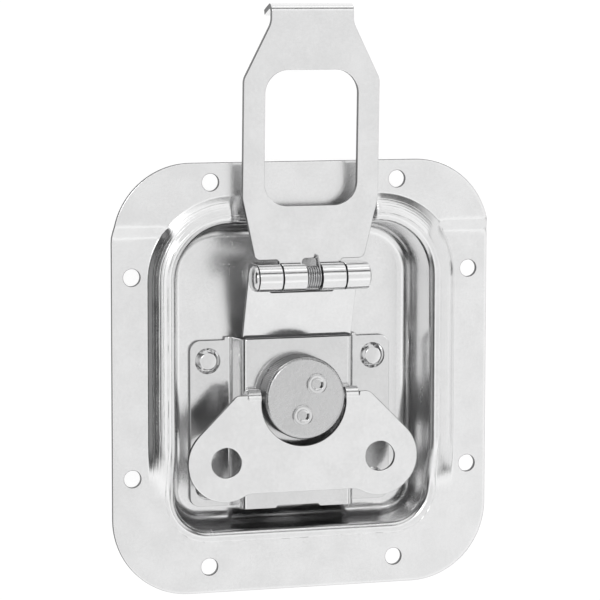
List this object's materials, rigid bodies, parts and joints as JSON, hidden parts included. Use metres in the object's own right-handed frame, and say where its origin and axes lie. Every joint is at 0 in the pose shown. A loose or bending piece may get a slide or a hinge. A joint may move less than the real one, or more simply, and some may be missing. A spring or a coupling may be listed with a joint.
{
  "type": "butterfly case latch",
  "caption": "Recessed butterfly latch: pressed steel dish with a folding wing handle, turning drum, sliding leaf and sprung hasp with a hook.",
  "frame": {"origin": "centre of the four side screw holes, on the mounting face at the back of the flange", "axes": "X across the latch, +Y towards the hook, +Z out of the case wall towards the user"},
  "size_m": [0.102, 0.1531, 0.025],
  "materials": {
    "zinc_sheet": "bright zinc plated sheet",
    "zinc_turned": "zinc plated, turned or formed",
    "spring_steel": "plain spring steel"
  },
  "bodies": {
    "dish_body": {"dish": "zinc_sheet", "bracket": "zinc_sheet", "rivet_upper_left": "zinc_turned", "rivet_lower_left": "zinc_turned", "rivet_upper_right": "zinc_turned", "rivet_lower_right": "zinc_turned", "friction_washer": "spring_steel"},
    "rotor": {"drum": "zinc_turned", "cam": "zinc_turned", "drum_stud_upper": "zinc_turned", "drum_stud_lower": "zinc_turned"},
    "wing": {"handle": "zinc_sheet", "handle_pin": "zinc_turned"},
    "slider": {"sliding_leaf": "zinc_sheet", "hinge_pin": "zinc_turned", "hinge_spring": "spring_steel"},
    "hasp_body": {"hasp": "zinc_sheet"}
  },
  "joints": [
    {"name": "rotor_turn", "type": "hinge", "parent": "dish_body", "child": "rotor", "pos_m": [0, -0.0065, 0], "axis": [0, 0, 1], "range_deg": [0, 180]},
    {"name": "handle_lift", "type": "hinge", "parent": "rotor", "child": "wing", "pos_m": [0, -0.0065, 0.0004], "axis": [-1, 0, 0], "range_deg": [0, 180]},
    {"name": "draw_slide", "type": "slide", "parent": "dish_body", "child": "slider", "axis": [0, 1, 0], "range_m": [0, 0.008]},
    {"name": "hasp_swing", "type": "hinge", "parent": "slider", "child": "hasp_body", "pos_m": [0, 0.02585, 0.0095], "axis": [1, 0, 0], "range_deg": [0, 120], "stiffness_Nm_per_rad": 0.015, "springref_deg": -22.92}
  ],
  "couplings": [
    {"joint": "rotor_turn", "follows": "draw_slide", "rad_per_m": 392.7},
    {"joint": "handle_lift", "follows": "draw_slide", "rad_per_m": 392.7}
  ]
}
